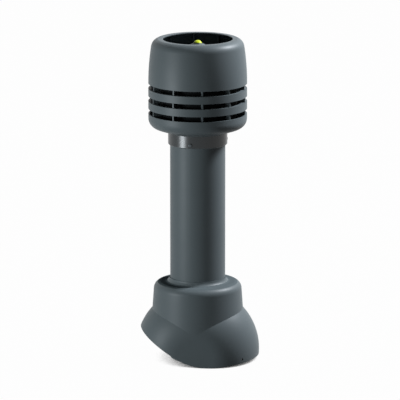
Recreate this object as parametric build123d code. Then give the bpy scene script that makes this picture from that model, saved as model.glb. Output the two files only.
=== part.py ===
"""Roof vent aerator: a saddle skirt for a sloping roof, a riser pipe and a slotted hood.

The origin is on the pipe's axis at its lower end, +Z is up.  The roof falls
towards +X, and the skirt's flat cheeks face -Y and +Y.
"""

import os
from math import cos, isclose, radians, sin, sqrt, tan

from build123d import *

# Driving dimensions, in millimetres and degrees

# Riser pipe
PIPE_DIAMETER = 110.0
PIPE_WALL = 3.2
PIPE_LENGTH = 475.0
PIPE_SLIP = 0.15              # radial play of the pipe in its sleeve and socket

# Skirt: a drafted drum that grows out of a barrel lying across the roof's fall
BARREL_AXIS_HEIGHT = 17.1
BARREL_RADIUS = 123.4         # of the barrel's ridge, midway between the cheeks
CHEEK_REACH = 93.8            # from the pipe's axis to a flat cheek
CHEEK_RADIUS = 38.3           # of the flat disc in the middle of a cheek
SKIRT_WALL = 3.0
DRUM_TOP_HEIGHT = 155.9
CREASE_RISE = 8.0             # lowest point of the crease above the flat disc
CREASE_OVERLAP = 2.5          # how far the drum runs on inside the barrel
DRUM_DRAFT = 4.0
DRUM_EDGE_FILLET = 15.0
NECK_FILLET = 9.0             # concave sweep from the drum's top up to the pipe
NECK_LIP = 1.3
SLEEVE_WALL = 3.0
SLEEVE_LENGTH = 75.0
GUSSET_COUNT = 6
GUSSET_THICKNESS = 2.5
GUSSET_HEIGHT = 40.0
RIM_CORNER_X = -3.1           # where the two straight runs of the lower rim would meet
RIM_CORNER_DROP = 22.5        # below the barrel's axis
RIM_UPHILL_ANGLE = 32.0
RIM_DOWNHILL_ANGLE = 5.8
RIM_BEND_RADIUS = 125.0
FIXING_HOLE_DIAMETER = 5.0
FIXING_HOLE_SWING = 48.8      # round the barrel's end, from its ridge to the cheek
FIXING_HOLE_DROP = 2.9        # below the barrel's axis, as an angle

# Hood, lower half: socket collar, sloping underside and upright rim
SOCKET_DEPTH = 40.0
COLLAR_WALL = 3.85
COLLAR_HEIGHT = 25.3
COLLAR_CHAMFER = 2.0
HOOD_RADIUS = 98.0
HOOD_WALL = 3.0
UNDERSIDE_ANGLE = 18.6
UNDERSIDE_FILLET = 20.0
BOWL_UPRIGHT = 24.0           # wall above the corner where the underside would meet it
SEAT_WIDTH = 6.0
SEAT_DROP = 14.0              # from the bowl's rim down to the ledge that the ribs stand on
STOP_THICKNESS = 3.0          # of the shoulder that the pipe's end meets
STOP_EASE = 0.7               # its bore stands back from the pipe's
BAFFLE_PLAY = 3.0             # between the ribs and the upright rain wall behind the slots
BAFFLE_WALL = 2.5
BAFFLE_LAP = 24.0             # its top above the top slot

# Hood, upper half: slats, ribs and the open-topped shell
SLOT_HEIGHT = 10.3
SLOT_PITCH = 25.3
SLAT_COUNT = 2
SLAT_LEDGE_DEPTH = 9.0
SLAT_LEDGE_THICKNESS = 2.2
SHELL_TAPER_HEIGHT = 74.0     # from the top slot to the shoulder
SHELL_TAPER_INSET = 5.6
SHOULDER_HEIGHT = 15.0
SHOULDER_INSET = 13.5
TOP_WIDTH = 9.7               # flat ring between the shoulder and the mouth
MOUTH_FILLET = 1.0
RIB_COUNT = 10
RIB_THICKNESS = 2.6
RIB_TURN = 9.8                # of the first rib, from -Y towards +X
RIB_DEPTH = 15.0              # inwards from the hood's inner face
RIB_TOOTH_DEPTH = 10.0        # of the tooth that carries the cone's flange
RIB_TOOTH_HEIGHT = 7.0
RIB_TOOTH_ANGLE = 45.0
RIB_PLAY = 0.2                # between a rib and the walls of the bowl and the shell

# Deflector cone and its tip
CONE_ANGLE = 26.0
CONE_WALL = 2.5
CONE_APEX_DROP = 3.2          # tip below the hood's top
CONE_FLANGE_WIDTH = 12.5
CONE_PLAY = 1.5               # between the cone's flange and the ribs
CAP_RADIUS = 8.0
CAP_HEIGHT = 5.5
CAP_EDGE = 1.6
CAP_STEM_DIAMETER = 5.0
CAP_STEM_LENGTH = 7.0
CAP_STEM_PLAY = 0.1

# Screws through the collar into the pipe
SCREW_COUNT = 3
SCREW_TURN = -10.2            # of the first screw, from -Y towards +X
SCREW_HEIGHT = 8.0            # above the collar's lower edge
SCREW_HEAD_DIAMETER = 7.0
SCREW_HEAD_HEIGHT = 2.4
SCREW_SHANK_DIAMETER = 4.0
SCREW_SHANK_LENGTH = 7.0
SCREW_PLAY = 0.1
SCREW_SLOT_WIDTH = 1.1
SCREW_SLOT_DEPTH = 1.1

# Derived sizes
PIPE_RADIUS = PIPE_DIAMETER / 2
PIPE_BORE_RADIUS = PIPE_RADIUS - PIPE_WALL
SLIP_RADIUS = PIPE_RADIUS + PIPE_SLIP
BULGE_HEIGHT = BARREL_RADIUS - CHEEK_RADIUS
CREASE_HEIGHT = BARREL_AXIS_HEIGHT + CHEEK_RADIUS + CREASE_RISE
COLLAR_RADIUS = SLIP_RADIUS + COLLAR_WALL
STOP_BORE = PIPE_BORE_RADIUS + STOP_EASE
COLLAR_BASE = PIPE_LENGTH - SOCKET_DEPTH
COLLAR_TOP = COLLAR_BASE + COLLAR_HEIGHT
UNDERSIDE_CORNER = COLLAR_TOP + (HOOD_RADIUS - COLLAR_RADIUS) * tan(radians(UNDERSIDE_ANGLE))
BOWL_RIM = UNDERSIDE_CORNER + BOWL_UPRIGHT
SEAT_LEVEL = BOWL_RIM - SEAT_DROP
INNER_RADIUS = HOOD_RADIUS - HOOD_WALL
RIB_INNER_RADIUS = INNER_RADIUS - RIB_DEPTH
RIB_TOOTH_RADIUS = RIB_INNER_RADIUS - RIB_TOOTH_DEPTH
BAFFLE_RADIUS = RIB_INNER_RADIUS - BAFFLE_PLAY
MOUTH_RADIUS = HOOD_RADIUS - SHELL_TAPER_INSET - SHOULDER_INSET - TOP_WIDTH
SHELL_BASE = BOWL_RIM + SLAT_COUNT * SLOT_PITCH + SLOT_HEIGHT
SHOULDER_BASE = SHELL_BASE + SHELL_TAPER_HEIGHT
HOOD_TOP = SHOULDER_BASE + SHOULDER_HEIGHT
CAP_BASE = HOOD_TOP - CONE_APEX_DROP - CAP_HEIGHT
CONE_FLANGE_RADIUS = RIB_INNER_RADIUS - CONE_PLAY
CONE_RADIUS = CONE_FLANGE_RADIUS - CONE_FLANGE_WIDTH
CONE_RIM = CAP_BASE - (CONE_RADIUS - CAP_RADIUS) * tan(radians(CONE_ANGLE))
CONE_SEAT = CONE_RIM - CONE_WALL
SCREW_LEVEL = COLLAR_BASE + SCREW_HEIGHT
FAR = 3 * HOOD_RADIUS


def spin(outline):
    """Turn a closed outline, drawn as radius and height, about the pipe's axis."""
    return revolve(Plane.XZ * make_face(outline), axis=Axis.Z)


def facing(turn):
    """The place whose X axis points outwards at a turn from -Y towards +X."""
    return Rot(0, 0, turn - 90)


def barrel(inset):
    """The saddle's full barrel: flat cheeks with an elliptical bulge between them."""
    reach = CHEEK_REACH - inset
    bulge = EllipticalCenterArc((0, CHEEK_RADIUS), reach, BULGE_HEIGHT - inset, arc_size=180)
    ends = Polyline((-reach, CHEEK_RADIUS), (-reach, 0), (reach, 0), (reach, CHEEK_RADIUS))
    body = revolve(Plane.YZ * make_face(bulge + ends), axis=Axis.Y)
    return Pos(0, 0, BARREL_AXIS_HEIGHT) * body


def drum(inset):
    """The drafted drum round the pipe, with its rounded top edge."""
    crease = (CHEEK_REACH - inset) * sqrt(1 - (CREASE_RISE / (BULGE_HEIGHT - inset)) ** 2)
    draft = tan(radians(DRUM_DRAFT))
    top = DRUM_TOP_HEIGHT - inset
    foot = CREASE_HEIGHT - CREASE_OVERLAP
    foot_radius = crease + CREASE_OVERLAP * draft
    top_radius = crease - (top - CREASE_HEIGHT) * draft
    body = spin(Polyline((0, foot), (foot_radius, foot), (top_radius, top), (0, top), close=True))
    edge = body.edges().group_by(Axis.Z)[-1]
    return fillet(edge, DRUM_EDGE_FILLET - inset)


def neck():
    """The concave sweep from the drum's flat top up to the pipe, and the sleeve below it."""
    lip = SLIP_RADIUS + NECK_LIP
    outer = SLIP_RADIUS + SLEEVE_WALL
    top = DRUM_TOP_HEIGHT + NECK_FILLET
    seat = DRUM_TOP_HEIGHT - SKIRT_WALL / 2
    bend = sin(radians(45)) * NECK_FILLET
    middle = (lip + NECK_FILLET - bend, top - bend)
    sweep = ThreePointArc((lip, top), middle, (lip + NECK_FILLET, DRUM_TOP_HEIGHT))
    rest = Polyline((lip + NECK_FILLET, DRUM_TOP_HEIGHT), (lip + NECK_FILLET, seat), (outer, seat),
                    (outer, DRUM_TOP_HEIGHT - SLEEVE_LENGTH), (SLIP_RADIUS, DRUM_TOP_HEIGHT - SLEEVE_LENGTH),
                    (SLIP_RADIUS, top), (lip, top))
    return spin(sweep + rest)


def gussets():
    """Upright webs between the sleeve and the drum's wall, under the flat top."""
    start = SLIP_RADIUS + SLEEVE_WALL / 2
    length = CHEEK_REACH - SKIRT_WALL / 2 - start
    web = Pos(start + length / 2, 0, DRUM_TOP_HEIGHT - SKIRT_WALL / 2 - GUSSET_HEIGHT / 2)
    webs = [Rot(0, 0, 360 / GUSSET_COUNT * k) * web * Box(length, GUSSET_THICKNESS, GUSSET_HEIGHT)
            for k in range(GUSSET_COUNT)]
    return Part() + webs


def below_rim():
    """Everything under the skirt's lower rim, which bends where the roof's fall is steepest."""
    level = BARREL_AXIS_HEIGHT - RIM_CORNER_DROP
    uphill = (-FAR, level + (FAR + RIM_CORNER_X) * tan(radians(RIM_UPHILL_ANGLE)))
    downhill = (FAR, level + (FAR - RIM_CORNER_X) * tan(radians(RIM_DOWNHILL_ANGLE)))
    rim = FilletPolyline(uphill, (RIM_CORNER_X, level), downhill, radius=RIM_BEND_RADIUS)
    under = Polyline(downhill, (FAR, -FAR), (-FAR, -FAR), uphill)
    return extrude(Plane.XZ * make_face(rim + under), FAR / 2, both=True)


def fixing_holes():
    """One hole at the downhill end of each cheek, square to the round surface."""
    swing = radians(FIXING_HOLE_SWING)
    drop = radians(FIXING_HOLE_DROP)
    holes = []
    for side in (-1, 1):
        out = CHEEK_RADIUS + BULGE_HEIGHT * cos(swing)
        place = (out * cos(drop), side * CHEEK_REACH * sin(swing), BARREL_AXIS_HEIGHT - out * sin(drop))
        along = CHEEK_REACH * cos(swing)
        normal = (along * cos(drop), side * BULGE_HEIGHT * sin(swing), -along * sin(drop))
        holes.append(Plane(place, z_dir=normal) * Cylinder(FIXING_HOLE_DIAMETER / 2, 4 * SKIRT_WALL))
    return holes


def base_skirt():
    outside = drum(0) + barrel(0)
    hollow = drum(SKIRT_WALL) + barrel(SKIRT_WALL)
    shell = outside - hollow + (gussets() & outside) + neck()
    shell -= Pos(0, 0, DRUM_TOP_HEIGHT) * Cylinder(SLIP_RADIUS, FAR)
    shell -= below_rim()
    return shell - fixing_holes()


def screw_places():
    """Each screw's place on the collar, with X pointing outwards."""
    step = 360 / SCREW_COUNT
    return [facing(SCREW_TURN + step * k) * Pos(COLLAR_RADIUS, 0, SCREW_LEVEL) for k in range(SCREW_COUNT)]


def screw_holes():
    hole = Rot(0, 90, 0) * Cylinder(SCREW_SHANK_DIAMETER / 2 + SCREW_PLAY, 4 * SCREW_SHANK_LENGTH)
    inward = Pos(-SCREW_SHANK_LENGTH, 0, 0)
    return [place * inward * hole for place in screw_places()]


def riser_pipe():
    tube = Cylinder(PIPE_RADIUS, PIPE_LENGTH) - Cylinder(PIPE_BORE_RADIUS, PIPE_LENGTH)
    return Pos(0, 0, PIPE_LENGTH / 2) * tube - screw_holes()


def bowl_outside():
    """Outline of the bowl's outer face, from the collar's lower edge to the upright rim."""
    return FilletPolyline((COLLAR_RADIUS, COLLAR_TOP), (HOOD_RADIUS, UNDERSIDE_CORNER),
                          (HOOD_RADIUS, BOWL_RIM), radius=UNDERSIDE_FILLET)


def hood_bowl():
    """Socket collar, sloping underside, upright rim and the inner wall that keeps driven rain out."""
    slope = tan(radians(UNDERSIDE_ANGLE))
    floor = COLLAR_TOP + HOOD_WALL / cos(radians(UNDERSIDE_ANGLE))
    seat_inner = INNER_RADIUS - SEAT_WIDTH
    baffle_inner = BAFFLE_RADIUS - BAFFLE_WALL
    baffle_top = SHELL_BASE + BAFFLE_LAP
    stop_top = PIPE_LENGTH + STOP_THICKNESS

    def on_floor(radius):
        return (radius, floor + (radius - COLLAR_RADIUS) * slope)

    inside = Polyline((HOOD_RADIUS, BOWL_RIM), (INNER_RADIUS, BOWL_RIM), (INNER_RADIUS, SEAT_LEVEL),
                      (seat_inner, SEAT_LEVEL), on_floor(seat_inner), on_floor(BAFFLE_RADIUS),
                      (BAFFLE_RADIUS, baffle_top), (baffle_inner, baffle_top), on_floor(baffle_inner),
                      on_floor(COLLAR_RADIUS), (COLLAR_RADIUS, stop_top), (STOP_BORE, stop_top),
                      (STOP_BORE, PIPE_LENGTH), (SLIP_RADIUS, PIPE_LENGTH), (SLIP_RADIUS, COLLAR_BASE),
                      (COLLAR_RADIUS - COLLAR_CHAMFER, COLLAR_BASE),
                      (COLLAR_RADIUS, COLLAR_BASE + COLLAR_CHAMFER), (COLLAR_RADIUS, COLLAR_TOP))
    return spin(bowl_outside() + inside) - screw_holes()


def shell_side(inset):
    """Outline of the shell's side and shoulder, from the top slot to the flat top."""
    foot = (HOOD_RADIUS - inset, SHELL_BASE)
    waist = (HOOD_RADIUS - SHELL_TAPER_INSET - inset, SHOULDER_BASE)
    crown = (waist[0] - SHOULDER_INSET, HOOD_TOP - inset)
    taper = TangentArc(foot, waist, tangent=(0, 1))
    return taper + TangentArc(waist, crown, tangent=taper % 1), foot, crown


def hood_shell():
    """The open-topped upper shell, which sits over the ribs' shoulders."""
    outer, outer_foot, outer_crown = shell_side(0)
    inner, inner_foot, inner_crown = shell_side(HOOD_WALL)
    top = Polyline(outer_crown, (MOUTH_RADIUS, HOOD_TOP), (MOUTH_RADIUS, HOOD_TOP - HOOD_WALL), inner_crown)
    body = spin(outer + top + inner + Line(inner_foot, outer_foot))
    rounds = body.edges().filter_by(GeomType.CIRCLE)
    lips = rounds.filter_by(lambda edge: isclose(edge.radius, MOUTH_RADIUS))
    return fillet(lips, MOUTH_FILLET)


def slats():
    """Rings between the slots, each with a ledge turned inwards along its upper edge."""
    height = SLOT_PITCH - SLOT_HEIGHT
    ledge = HOOD_RADIUS - SLAT_LEDGE_DEPTH
    rings = []
    for k in range(SLAT_COUNT):
        low = BOWL_RIM + SLOT_HEIGHT + k * SLOT_PITCH
        high = low + height
        under = high - SLAT_LEDGE_THICKNESS
        section = Polyline((HOOD_RADIUS, low), (HOOD_RADIUS, high), (ledge, high), (ledge, under),
                           (INNER_RADIUS, under), (INNER_RADIUS, low), close=True)
        rings.append(spin(section))
    return rings


def ribs():
    """Upright plates that tie the slats together, stand in the bowl and carry the shell and the cone."""
    grip = INNER_RADIUS + HOOD_WALL / 3
    side, foot, crown = shell_side(HOOD_WALL + RIB_PLAY)
    top = HOOD_TOP - HOOD_WALL
    hidden = INNER_RADIUS - RIB_PLAY
    tooth = CONE_SEAT - RIB_TOOTH_HEIGHT
    tooth_root = tooth - (RIB_INNER_RADIUS - RIB_TOOTH_RADIUS) * tan(radians(RIB_TOOTH_ANGLE))
    slats_top = SHELL_BASE - SLOT_HEIGHT
    edge = Polyline(crown, (crown[0], top), (RIB_TOOTH_RADIUS, top), (RIB_TOOTH_RADIUS, tooth),
                    (RIB_INNER_RADIUS, tooth_root), (RIB_INNER_RADIUS, SEAT_LEVEL), (hidden, SEAT_LEVEL),
                    (hidden, BOWL_RIM), (grip, BOWL_RIM), (grip, slats_top), (hidden, slats_top), foot)
    cone_room = Pos(0, CONE_SEAT) * Rectangle(RIB_INNER_RADIUS, HOOD_TOP - CONE_SEAT, align=Align.MIN)
    plate = extrude(Plane.XZ * (make_face(side + edge) - cone_room), RIB_THICKNESS / 2, both=True)
    return [facing(RIB_TURN + 360 / RIB_COUNT * k) * plate for k in range(RIB_COUNT)]


def louvre_cage():
    rings = slats()
    return rings[0] + rings[1:] + ribs()


def deflector_cone():
    """A thin cone on a flat flange that rests on the ribs."""
    drop = CONE_WALL / cos(radians(CONE_ANGLE))
    stem = CAP_STEM_DIAMETER / 2 + CAP_STEM_PLAY
    inner_top = (CAP_RADIUS - CONE_WALL * tan(radians(CONE_ANGLE / 2)), CAP_BASE - CONE_WALL)
    inner_rim = (CONE_RADIUS - CONE_WALL * tan(radians(CONE_ANGLE / 2)), CONE_SEAT)
    section = Polyline((stem, CAP_BASE), (CAP_RADIUS, CAP_BASE), (CONE_RADIUS, CONE_RIM),
                       (CONE_FLANGE_RADIUS, CONE_RIM), (CONE_FLANGE_RADIUS, CONE_SEAT), inner_rim,
                       inner_top, (stem, CAP_BASE - CONE_WALL), close=True)
    return spin(section)


def cone_cap():
    """The bright tip: a low dome on a plain stem."""
    stem = CAP_STEM_DIAMETER / 2
    shoulder = (CAP_RADIUS, CAP_BASE + CAP_EDGE)
    dome = TangentArc((0, CAP_BASE + CAP_HEIGHT), shoulder, tangent=(1, 0))
    rest = Polyline(shoulder, (CAP_RADIUS, CAP_BASE), (stem, CAP_BASE), (stem, CAP_BASE - CAP_STEM_LENGTH),
                    (0, CAP_BASE - CAP_STEM_LENGTH), (0, CAP_BASE + CAP_HEIGHT))
    return spin(dome + rest)


def collar_screw():
    """A small pan-head screw, its head seated on X = 0 and its shank pointing to -X."""
    head = Cylinder(SCREW_HEAD_DIAMETER / 2, SCREW_HEAD_HEIGHT)
    head = fillet(head.edges().sort_by(Axis.Z)[-1], SCREW_HEAD_HEIGHT / 2)
    slot = Pos(0, 0, SCREW_HEAD_HEIGHT / 2) * Box(SCREW_HEAD_DIAMETER, SCREW_SLOT_WIDTH, 2 * SCREW_SLOT_DEPTH)
    head = Pos(0, 0, SCREW_HEAD_HEIGHT / 2) * (head - slot)
    shank = Pos(0, 0, -SCREW_SHANK_LENGTH / 2) * Cylinder(SCREW_SHANK_DIAMETER / 2, SCREW_SHANK_LENGTH)
    return Rot(0, 90, 0) * (head + shank)


def collar_screws():
    return Compound([place * collar_screw() for place in screw_places()])


os.makedirs("parts", exist_ok=True)
export_step(base_skirt(), "parts/base_skirt.step")
export_step(riser_pipe(), "parts/riser_pipe.step")
export_step(hood_bowl(), "parts/hood_bowl.step")
export_step(hood_shell(), "parts/hood_shell.step")
export_step(louvre_cage(), "parts/louvre_cage.step")
export_step(deflector_cone(), "parts/deflector_cone.step")
export_step(cone_cap(), "parts/cone_cap.step")
export_step(collar_screws(), "parts/collar_screws.step")
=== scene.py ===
# %% [markdown]
# # A roof vent aerator in graphite plastic
# The vent is a skirt that sits on a sloping roof, a plain riser pipe and a slotted hood with a rain cone.
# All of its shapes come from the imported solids, in metres, and this lesson gives them their finish.
# Nothing here is moved or resized, and no shape is added.

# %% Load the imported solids
import math

import bpy
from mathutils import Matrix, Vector


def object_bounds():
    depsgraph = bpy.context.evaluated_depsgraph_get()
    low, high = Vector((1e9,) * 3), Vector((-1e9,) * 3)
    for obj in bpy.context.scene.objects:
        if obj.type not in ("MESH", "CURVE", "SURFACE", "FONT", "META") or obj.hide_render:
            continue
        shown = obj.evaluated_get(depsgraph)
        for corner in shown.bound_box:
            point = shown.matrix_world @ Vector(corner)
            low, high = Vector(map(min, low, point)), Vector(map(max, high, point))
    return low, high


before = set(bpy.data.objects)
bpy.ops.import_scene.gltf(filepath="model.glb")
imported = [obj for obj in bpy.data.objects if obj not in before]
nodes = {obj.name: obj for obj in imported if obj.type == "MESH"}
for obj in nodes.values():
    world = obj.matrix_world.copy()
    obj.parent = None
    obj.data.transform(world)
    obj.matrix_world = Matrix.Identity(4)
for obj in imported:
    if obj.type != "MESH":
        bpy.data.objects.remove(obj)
cad_low, cad_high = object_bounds()
print("solids:", sorted(nodes), "height", round(cad_high.z - cad_low.z, 4), "m")

# %% [markdown]
# ## Smooth skins
# A moulded shell is smooth where its surface is round and crisp only where two faces meet at an angle.
# Splitting the mesh there would give both, but it opens the skin along every edge. Marking the edges over a
# set angle as sharp does the same for the shading and leaves each mesh closed.

# %% Shade the round faces smooth and keep real edges crisp
CRISP_EDGE = math.radians(28)

for piece in nodes.values():
    piece.data.shade_smooth()
    piece.data.set_sharp_from_angle(angle=CRISP_EDGE)
print("smoothed", len(nodes), "solids")

# %% [markdown]
# ## Small helpers for every finish
# Colours are written as sRGB hex values, the way a paint chart gives them, and shaders want linear light.
# One function turns the first into the second, and one adds a shader node with its settings and links.
# Two more empty a node tree before it is filled, and put one finish on the whole of a piece.

# %% Colour and node helpers
MM = 0.001


def linear(hex_colour):
    """An sRGB hex colour as linear RGBA."""
    channels = [int(hex_colour[k:k + 2], 16) / 255 for k in (1, 3, 5)]
    return [c / 12.92 if c <= 0.04045 else ((c + 0.055) / 1.055) ** 2.4 for c in channels] + [1.0]


def add(tree, kind, settings=None, **inputs):
    """Adds a node. An input is linked if it gets a socket, and `i6` is the input at place 6."""
    node = tree.nodes.new(kind)
    for name, value in (settings or {}).items():
        setattr(node, name, value)
    for name, value in inputs.items():
        by_place = name[0] == "i" and name[1:].isdigit()
        socket = node.inputs[int(name[1:]) if by_place else name.replace("_", " ")]
        if isinstance(value, bpy.types.NodeSocket):
            tree.links.new(value, socket)
        else:
            socket.default_value = value
    return node


def empty_tree(owner):
    """The node tree of a material or world, with nothing in it."""
    owner.use_nodes = True
    owner.node_tree.nodes.clear()
    return owner.node_tree


def dress(piece, finish):
    """Puts one finish on the whole of a piece."""
    piece.data.materials.clear()
    piece.data.materials.append(finish)


def per_metre(size_mm):
    """A texture's scale for a pattern of that real size."""
    return 1 / (size_mm * MM)


print("mid grey in linear light:", [round(c, 4) for c in linear("#808080")])

# %% [markdown]
# ## Graphite polypropylene
# The mouldings are polypropylene coloured right through, with the grain that a spark-eroded tool leaves.
# The grain scatters the highlight into a wide satin sheen, so its roughness is high and its reflection weak.
# Slow flow in the mould gives faint, broad mottling. The real grain is about half a millimetre, too fine to
# show from here, so it is drawn near two millimetres and very shallow.

# %% Moulded graphite plastic
GRAPHITE, GRAPHITE_DARK = "#4E5557", "#4A5153"
SATIN = 0.46, 0.15              # roughness and shine of a grained tool face
POLYPROPYLENE_IOR = 1.49
MOTTLE_MM = 45
MOTTLE_GLOSS = 0.04             # how far the mottling moves the roughness either way
GRAIN_MM = 1.8
GRAIN_DEPTH_MM = 0.03
GRAIN_STRENGTH = 0.35


def moulded_polypropylene(name, colour, flow_colour, roughness, shine):
    """Plastic with a shallow tool grain and broad flow mottling. A shine of 0.5 is a clean, flat surface."""
    material = bpy.data.materials.new(name)
    tree = empty_tree(material)
    place = add(tree, "ShaderNodeTexCoord").outputs["Object"]
    mottle = add(tree, "ShaderNodeTexNoise", Vector=place, Scale=per_metre(MOTTLE_MM), Detail=3.0)
    mottle = mottle.outputs["Fac"]
    tone = add(tree, "ShaderNodeMix", {"data_type": "RGBA"}, i0=mottle,
               i6=linear(colour), i7=linear(flow_colour))
    gloss = add(tree, "ShaderNodeMapRange", Value=mottle,
                To_Min=roughness - MOTTLE_GLOSS, To_Max=roughness + MOTTLE_GLOSS)
    grain = add(tree, "ShaderNodeTexNoise", Vector=place, Scale=per_metre(GRAIN_MM), Detail=2.0)
    bump = add(tree, "ShaderNodeBump", Height=grain.outputs["Fac"], Strength=GRAIN_STRENGTH,
               Distance=GRAIN_DEPTH_MM * MM)
    skin = add(tree, "ShaderNodeBsdfPrincipled", Base_Color=tone.outputs[2], Roughness=gloss.outputs[0],
               IOR=POLYPROPYLENE_IOR, Specular_IOR_Level=shine, Normal=bump.outputs[0])
    add(tree, "ShaderNodeOutputMaterial", Surface=skin.outputs[0])
    return material


graphite = moulded_polypropylene("graphite_polypropylene_grained", GRAPHITE, GRAPHITE_DARK, *SATIN)
for name in ("base_skirt", "riser_pipe", "hood_bowl", "hood_shell", "louvre_cage", "deflector_cone"):
    dress(nodes[name], graphite)
print("graphite plastic on the mouldings and the pipe")

# %% [markdown]
# ## Two walls of the bowl with a finish and painted shade of their own
# The collar under the hood is polished, and shows a bright upright band where the rest only has a sheen.
# Its colour is painted darker than the graphite, as painted shade under the hood.
# The rain wall behind the slots is dull and painted nearly black, as painted shade, so that the slots read
# as deep.
# Both belong to the bowl, so they aren't pieces of their own: a function picks their faces by place and
# direction, and gives those faces a second material.

# %% Collar and rain wall
# painted shade: the collar's colours are darker than the graphite for the hood's shade over it
COLLAR_SHADED_COLOURS = "#1E2325", "#1B2022"
# painted shade: the rain wall's near-black colours stand in for the shade inside the slots
RAIN_WALL_SHADE_COLOURS = "#16191A", "#141617"
POLISHED = 0.27, 0.42           # roughness and shine of a polished tool face
DULL = 0.7, 0.05
COLLAR_HEIGHT, COLLAR_RADIUS = 25.3 * MM, 59 * MM
RAIN_WALL_RADIUS = 76 * MM
REACH = 3 * MM                  # how far from its radius a wall's faces may lie
UPRIGHT = 0.5                   # upward part of a face's direction up to which it counts as upright


def heights(piece):
    """The heights of a piece's points."""
    return [(piece.matrix_world @ point.co).z for point in piece.data.vertices]


def finish_faces(piece, finish, wanted):
    """Gives a finish to the faces that are wanted by middle and direction, and says how many there are."""
    piece.data.materials.append(finish)
    slot = len(piece.data.materials) - 1
    chosen = [face for face in piece.data.polygons if wanted(piece.matrix_world @ face.center, face.normal)]
    for face in chosen:
        face.material_index = slot
    return len(chosen)


def on_round_wall(radius, low, high):
    """A test for the upright faces of a round wall between two heights."""
    def wanted(middle, normal):
        near = abs(math.hypot(middle.x, middle.y) - radius) < REACH
        return near and low < middle.z < high and abs(normal.z) < UPRIGHT
    return wanted


bowl = nodes["hood_bowl"]
bowl_low = min(heights(bowl))
collar_top = bowl_low + COLLAR_HEIGHT
polished = moulded_polypropylene("graphite_polished_painted_shade", *COLLAR_SHADED_COLOURS, *POLISHED)
dull = moulded_polypropylene("rain_wall_painted_shade", *RAIN_WALL_SHADE_COLOURS, *DULL)
print("collar faces:", finish_faces(bowl, polished, on_round_wall(COLLAR_RADIUS, bowl_low, collar_top)))
print("rain wall faces:", finish_faces(bowl, dull, on_round_wall(RAIN_WALL_RADIUS, collar_top, cad_high.z)))

# %% [markdown]
# ## The skirt's flat top
# The flat top round the pipe is taken to be blasted dull in the tool. A satin face seen at so low an angle
# would mirror the white surround and lose the hood's shadow, so this finish has no reflection at all.

# %% Dull flat top
BLASTED = 0.8, 0.0
LEVEL = 0.85                    # upward part of a face's direction from which it counts as level
TOP_BAND = 30 * MM              # the top and its bead lie within this of the skirt's highest point
skirt = nodes["base_skirt"]
band_low = max(heights(skirt)) - TOP_BAND


def on_flat_top(middle, normal):
    """A test for the level faces at the top of the skirt."""
    return normal.z > LEVEL and middle.z > band_low


blasted = moulded_polypropylene("graphite_polypropylene_blasted", GRAPHITE, GRAPHITE_DARK, *BLASTED)
print("flat top faces:", finish_faces(skirt, blasted, on_flat_top))

# %% [markdown]
# ## The bright tip
# A small cap of yellow-green plastic closes the top of the rain cone and shows through the hood's mouth.
# It is the same plastic from a smoother tool, so it is a little glossier than the mouldings round it.

# %% Yellow-green plastic
LIME, LIME_DARK = "#B4C21E", "#A6B41A"
SMOOTH = 0.4, 0.2               # roughness and shine of a tool face without grain

dress(nodes["cone_cap"], moulded_polypropylene("lime_polypropylene_polished", LIME, LIME_DARK, *SMOOTH))
print("yellow-green plastic on the tip")

# %% [markdown]
# ## Blackened screws
# The screws that hold the hood on the pipe are steel with a black oxide coat.
# The coat is thin, so the steel stays a dull metal. One flat dark tone would look painted, so a noise mixes
# two, for the small spots where the coat is worn lighter.

# %% Black oxide steel
OXIDE, OXIDE_WORN = "#2C3032", "#4A4F52"
OXIDE_SPOT_MM = 1.2
OXIDE_METALLIC, OXIDE_ROUGHNESS = 0.8, 0.45


def black_oxide_steel():
    """Dull dark metal with small lighter spots."""
    material = bpy.data.materials.new("black_oxide_steel")
    tree = empty_tree(material)
    place = add(tree, "ShaderNodeTexCoord").outputs["Object"]
    spots = add(tree, "ShaderNodeTexNoise", Vector=place, Scale=per_metre(OXIDE_SPOT_MM), Detail=4.0)
    tone = add(tree, "ShaderNodeMix", {"data_type": "RGBA"}, i0=spots.outputs["Fac"],
               i6=linear(OXIDE), i7=linear(OXIDE_WORN))
    coat = add(tree, "ShaderNodeBsdfPrincipled", Base_Color=tone.outputs[2], Metallic=OXIDE_METALLIC,
               Roughness=OXIDE_ROUGHNESS)
    add(tree, "ShaderNodeOutputMaterial", Surface=coat.outputs[0])
    return material


dress(nodes["collar_screws"], black_oxide_steel())
print("black oxide on the screws")

# %% [markdown]
# ## White floor
# The vent is shown on white, as in a catalogue. A white floor under strong lamps would do that, but its
# light would wash the plastic out. So the floor glows white only to rays that show the background: from the
# camera, in a reflection or through glass. Where the part stands over it the white fades with the share of
# open sky, a painted soft shadow through which the floor's own darker tone shows, and from below the sheet
# is clear, so that the underside can be looked at.

# %% Floor
WHITE = "#FFFFFF"
PAPER_SHADE = "#484848"         # the paper's own tone, seen where the part shades it
FLOOR_HALF = 6.0
FLOOR_WHITE = 0.985             # the rest of the floor's tone is lit by the lamps
# painted shadow: the next lines set how far and how deep the floor's white fades round the part
FLOOR_REACH = 0.3               # the part shades the floor from up to this height
SHADED, CLEAR = 0.1, 0.24       # shares of open sky at which the floor is dark and fully white
SHADE_SAMPLES = 8


def background_rays(tree):
    """1 for rays that show the background: from the camera, in a reflection or through glass."""
    path = add(tree, "ShaderNodeLightPath").outputs
    seen = path["Is Camera Ray"]
    for kind in ("Is Glossy Ray", "Is Transmission Ray"):
        seen = add(tree, "ShaderNodeMath", {"operation": "MAXIMUM"}, i0=seen, i1=path[kind]).outputs[0]
    return seen


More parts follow.
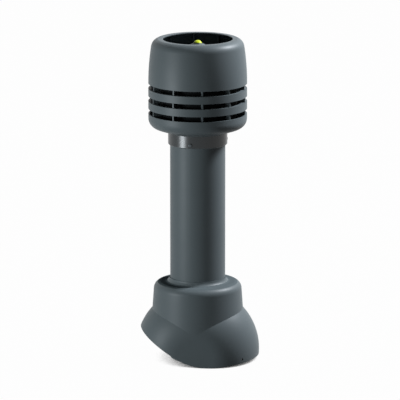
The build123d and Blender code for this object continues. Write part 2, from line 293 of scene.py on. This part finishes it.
def backing_paper():
    """White to the rays that show the background, with a painted shadow under the part, and clear from
    below.
    """
    material = bpy.data.materials.new("white_backing_paper")
    tree = empty_tree(material)
    paper = add(tree, "ShaderNodeBsdfDiffuse", Color=linear(PAPER_SHADE))
    glow = add(tree, "ShaderNodeEmission", Color=linear(WHITE), Strength=1.0)
    # painted shadow: under the part the white fades by the share of open sky round each floor point, not by
    # the lamps
    sky = add(tree, "ShaderNodeAmbientOcclusion", {"samples": SHADE_SAMPLES}, Distance=FLOOR_REACH)
    white_outside_painted_shadow = add(tree, "ShaderNodeMapRange", Value=sky.outputs["AO"], From_Min=SHADED, From_Max=CLEAR,
                     To_Max=FLOOR_WHITE)
    seen = add(tree, "ShaderNodeMath", {"operation": "MULTIPLY"}, i0=background_rays(tree),
               i1=white_outside_painted_shadow.outputs[0])
    upper = add(tree, "ShaderNodeMixShader", i0=seen.outputs[0], i1=paper.outputs[0], i2=glow.outputs[0])
    below = add(tree, "ShaderNodeNewGeometry").outputs["Backfacing"]
    glass = add(tree, "ShaderNodeBsdfTransparent")
    sheet = add(tree, "ShaderNodeMixShader", i0=below, i1=upper.outputs[0], i2=glass.outputs[0])
    add(tree, "ShaderNodeOutputMaterial", Surface=sheet.outputs[0])
    return material


floor_mesh = bpy.data.meshes.new("pale_floor")
corners = [(x * FLOOR_HALF, y * FLOOR_HALF) for x, y in ((-1, -1), (1, -1), (1, 1), (-1, 1))]
floor_mesh.from_pydata([(x, y, cad_low.z) for x, y in corners], [], [(0, 1, 2, 3)])
floor = bpy.data.objects.new("pale_floor", floor_mesh)
bpy.context.scene.collection.objects.link(floor)
floor_mesh.materials.append(backing_paper())
print("floor at", round(cad_low.z, 4), "m")

# %% [markdown]
# ## White surround
# The world behind the floor is made the same way: white to the rays that show it, and dim as light on the
# part. Reflections show the white too, so that the screws and the polished collar stand in it.

# %% World
AMBIENT, AMBIENT_COLOUR = 0.01, "#EEF4FF"

world = bpy.data.worlds.new("white_surround")
bpy.context.scene.world = world
world_tree = empty_tree(world)
dim = add(world_tree, "ShaderNodeBackground", Color=linear(AMBIENT_COLOUR), Strength=AMBIENT)
white = add(world_tree, "ShaderNodeBackground", Color=linear(WHITE), Strength=1.0)
both = add(world_tree, "ShaderNodeMixShader", i0=background_rays(world_tree),
           i1=dim.outputs[0], i2=white.outputs[0])
add(world_tree, "ShaderNodeOutputWorld", Surface=both.outputs[0])
print("surround: white to look at, strength", AMBIENT, "as light")

# %% [markdown]
# ## Camera
# The photograph was taken from far away with a long lens: the pipe hardly narrows from one end to the other.
# The camera stands eight metres off, a little above the hood, turned slightly to the downhill side.

# %% Camera
AZIMUTH, ELEVATION = 4.2, 12.3
DISTANCE = 8.0
LENS, SENSOR = 361.0, 36.0      # millimetres
CLIP_END = 100.0
IMAGE = 400                     # pixels along each side of the photograph
AXIS_PIXEL = 197.7              # column of the pipe's axis
AIM_HEIGHT = 0.3206             # height on the axis that is seen in the middle row


def away(azimuth, elevation):
    """The direction from the part towards a place in the studio, in degrees round from -Y and up."""
    a, e = math.radians(azimuth), math.radians(elevation)
    return Vector((math.sin(a) * math.cos(e), -math.cos(a) * math.cos(e), math.sin(e)))


def stand(thing, azimuth, elevation, distance):
    """Stands a camera or lamp at a place in the studio, facing the middle of the vent."""
    thing.location = Vector((0, 0, AIM_HEIGHT)) + away(azimuth, elevation) * distance
    thing.rotation_euler = (-away(azimuth, elevation)).to_track_quat("-Z", "Y").to_euler()
    bpy.context.scene.collection.objects.link(thing)


camera = bpy.data.objects.new("camera", bpy.data.cameras.new("camera"))
camera.data.lens = LENS
camera.data.sensor_width = SENSOR
camera.data.clip_end = CLIP_END
camera.data.shift_x = (IMAGE / 2 - AXIS_PIXEL) / IMAGE
stand(camera, AZIMUTH, ELEVATION, DISTANCE)
bpy.context.scene.camera = camera
print("camera at", [round(v, 3) for v in camera.location])

# %% [markdown]
# ## Studio light
# Two softboxes do the work. The left one stands near and low: upright walls mirror it towards a camera that
# looks down on them. That gives the sheen and the collar's bright band, and the hood doesn't shade the
# collar. The right one hangs high and a little behind, and lays the hood's shadow across the pipe.

# %% Softboxes
def softbox(name, azimuth, elevation, distance, width, height, watts, colour):
    """An oblong area lamp that faces the middle of the vent."""
    lamp = bpy.data.lights.new(name, "AREA")
    lamp.shape = "RECTANGLE"
    lamp.size, lamp.size_y = width, height
    lamp.energy = watts
    lamp.color = linear(colour)[:3]
    stand(bpy.data.objects.new(name, lamp), azimuth, elevation, distance)


softbox("left_key", azimuth=AZIMUTH - 60, elevation=0, distance=1.5, width=0.5, height=0.6,
        watts=22.5, colour="#F2FAFF")
softbox("right_key", azimuth=AZIMUTH + 108, elevation=46, distance=3.0, width=0.6, height=0.6,
        watts=245, colour="#F4F8FF")
bpy.context.scene.view_settings.view_transform = "Standard"
print("two softboxes and a dim surround")
